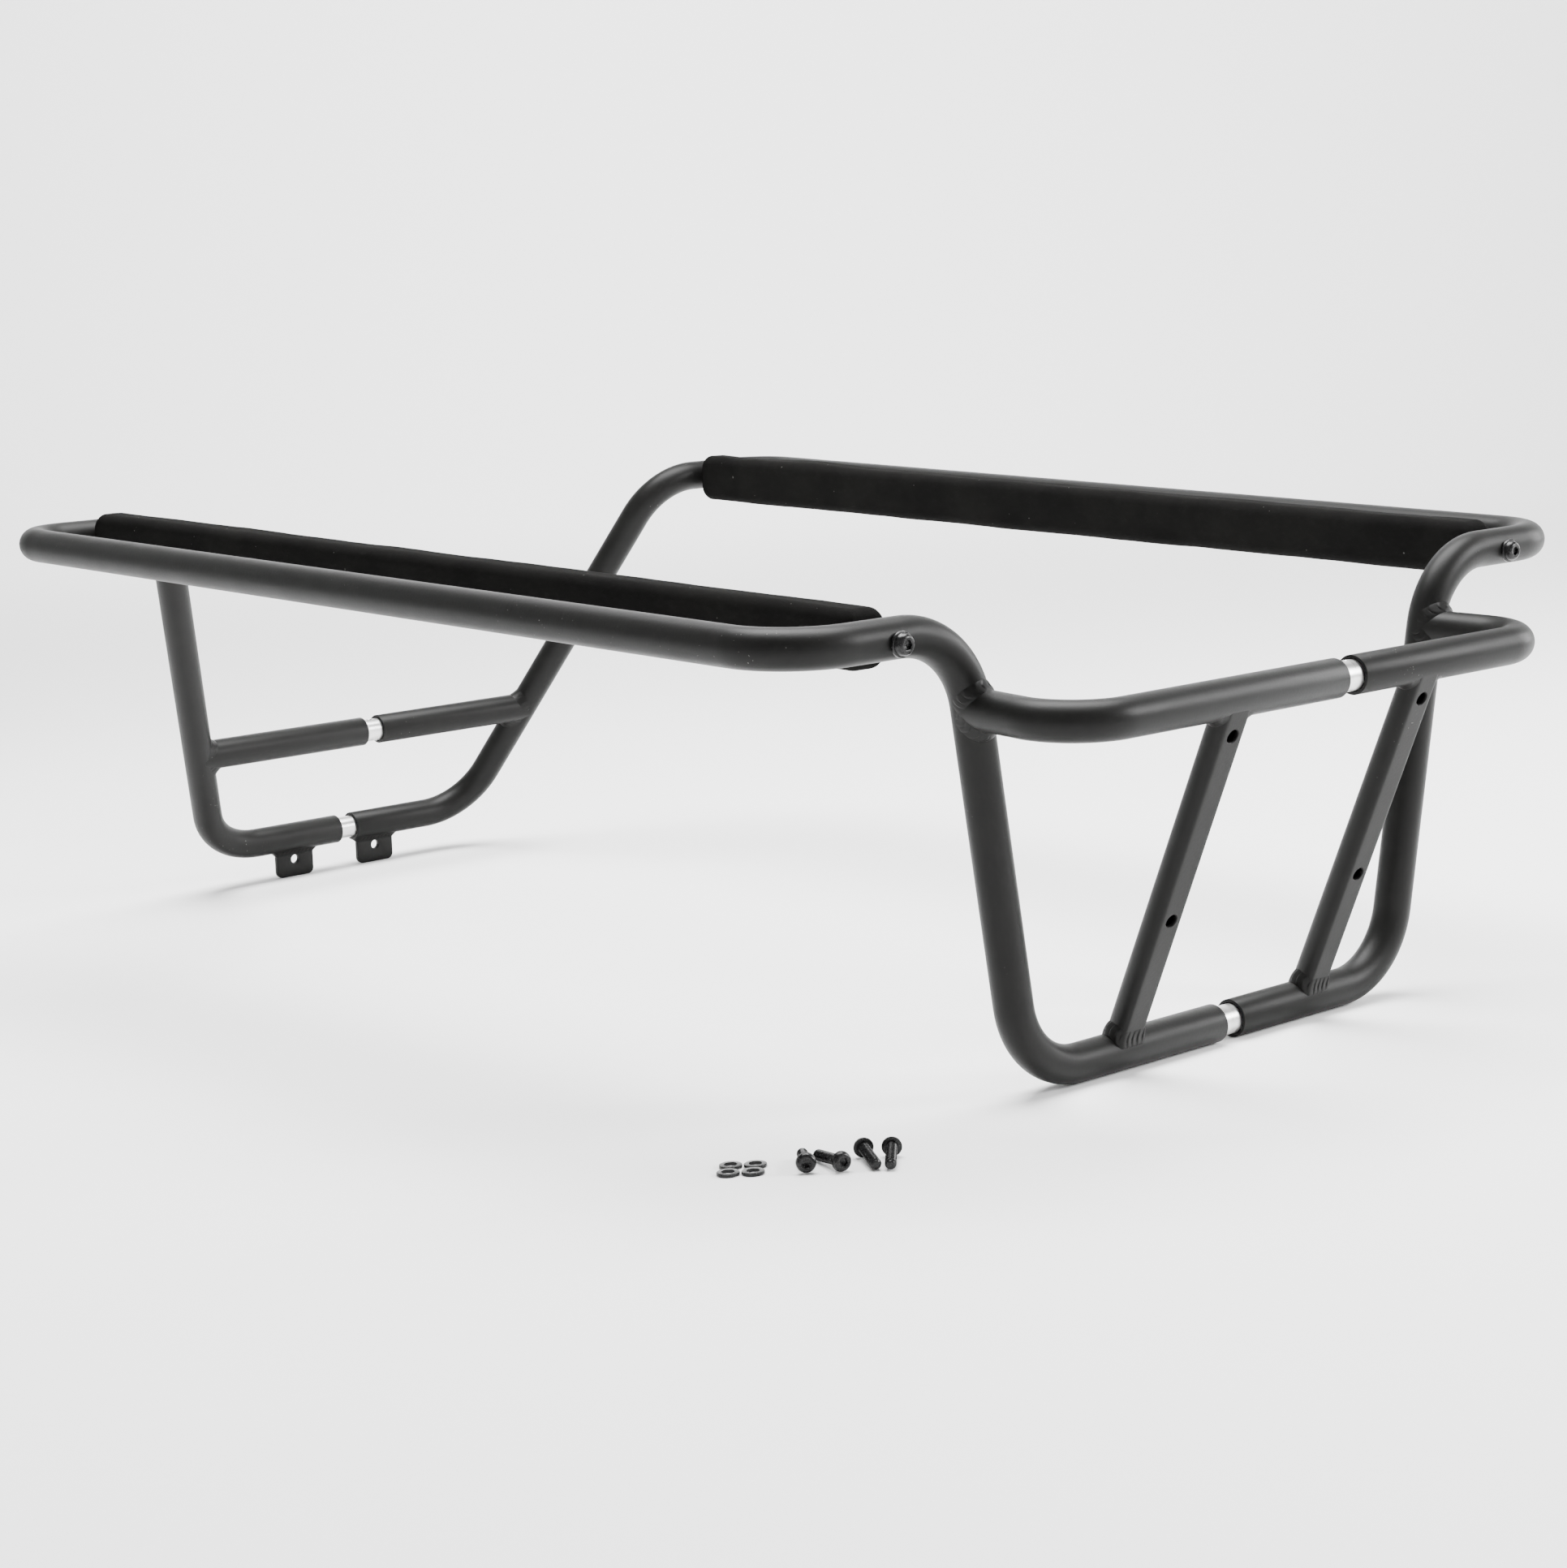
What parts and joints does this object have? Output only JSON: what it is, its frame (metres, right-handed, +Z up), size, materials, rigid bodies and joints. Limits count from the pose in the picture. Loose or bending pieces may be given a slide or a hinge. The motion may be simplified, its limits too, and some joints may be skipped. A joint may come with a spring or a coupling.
{
  "type": "telescoping padded carrier rail",
  "caption": "Two-half bent-tube guard rail for a cargo bicycle's rear deck, with padded side bars, bumper loop, struts and bolt tabs; its halves slide on bare spigots to set the width.",
  "frame": {"origin": "middle of the bottom of the whole object's bounding box, on the floor that the end B base bar, the tabs and the loose hardware rest on", "axes": "+X along the rails from end A (base bar with tabs) to end B (bumper loop), +Y across towards the right half, +Z up; the rails fall 2.6 degrees towards end B, as the frame stands on a floor"},
  "size_m": [1.0392, 0.6964, 0.3113],
  "materials": {
    "charcoal_powder_coat": "satin",
    "bare_aluminium": "satin",
    "black_foam": "matte",
    "black_steel": "satin"
  },
  "bodies": {
    "left_half": {"end_a_tube_left": "charcoal_powder_coat", "rail_tube_left": "charcoal_powder_coat", "end_b_tube_left": "charcoal_powder_coat", "bumper_tube_left": "charcoal_powder_coat", "mid_crossbar_left": "charcoal_powder_coat", "strut_left": "charcoal_powder_coat", "mount_tab_left": "charcoal_powder_coat", "pad_core_left": "bare_aluminium", "pad_saddle_left_a": "bare_aluminium", "pad_saddle_left_b": "bare_aluminium", "spigot_base_a": "bare_aluminium", "spigot_mid": "bare_aluminium", "spigot_base_b": "bare_aluminium", "spigot_bumper": "bare_aluminium", "pad_left": "black_foam", "pad_washer_left_a": "black_steel", "pad_bolt_left_a": "black_steel", "pad_washer_left_b": "black_steel", "pad_bolt_left_b": "black_steel", "loose_bolt_1": "black_steel", "loose_washer_1": "black_steel", "loose_bolt_2": "black_steel", "loose_washer_2": "black_steel", "loose_bolt_3": "black_steel", "loose_washer_3": "black_steel", "loose_bolt_4": "black_steel", "loose_washer_4": "black_steel"},
    "right_half": {"end_a_tube_right": "charcoal_powder_coat", "rail_tube_right": "charcoal_powder_coat", "end_b_tube_right": "charcoal_powder_coat", "bumper_tube_right": "charcoal_powder_coat", "mid_crossbar_right": "charcoal_powder_coat", "strut_right": "charcoal_powder_coat", "mount_tab_right": "charcoal_powder_coat", "pad_core_right": "bare_aluminium", "pad_saddle_right_a": "bare_aluminium", "pad_saddle_right_b": "bare_aluminium", "pad_right": "black_foam", "pad_washer_right_a": "black_steel", "pad_bolt_right_a": "black_steel", "pad_washer_right_b": "black_steel", "pad_bolt_right_b": "black_steel"}
  },
  "joints": [
    {"name": "width_slide", "type": "slide", "parent": "left_half", "child": "right_half", "axis": [0, 1, 0], "range_m": [-0.0135, 0.03]}
  ]
}
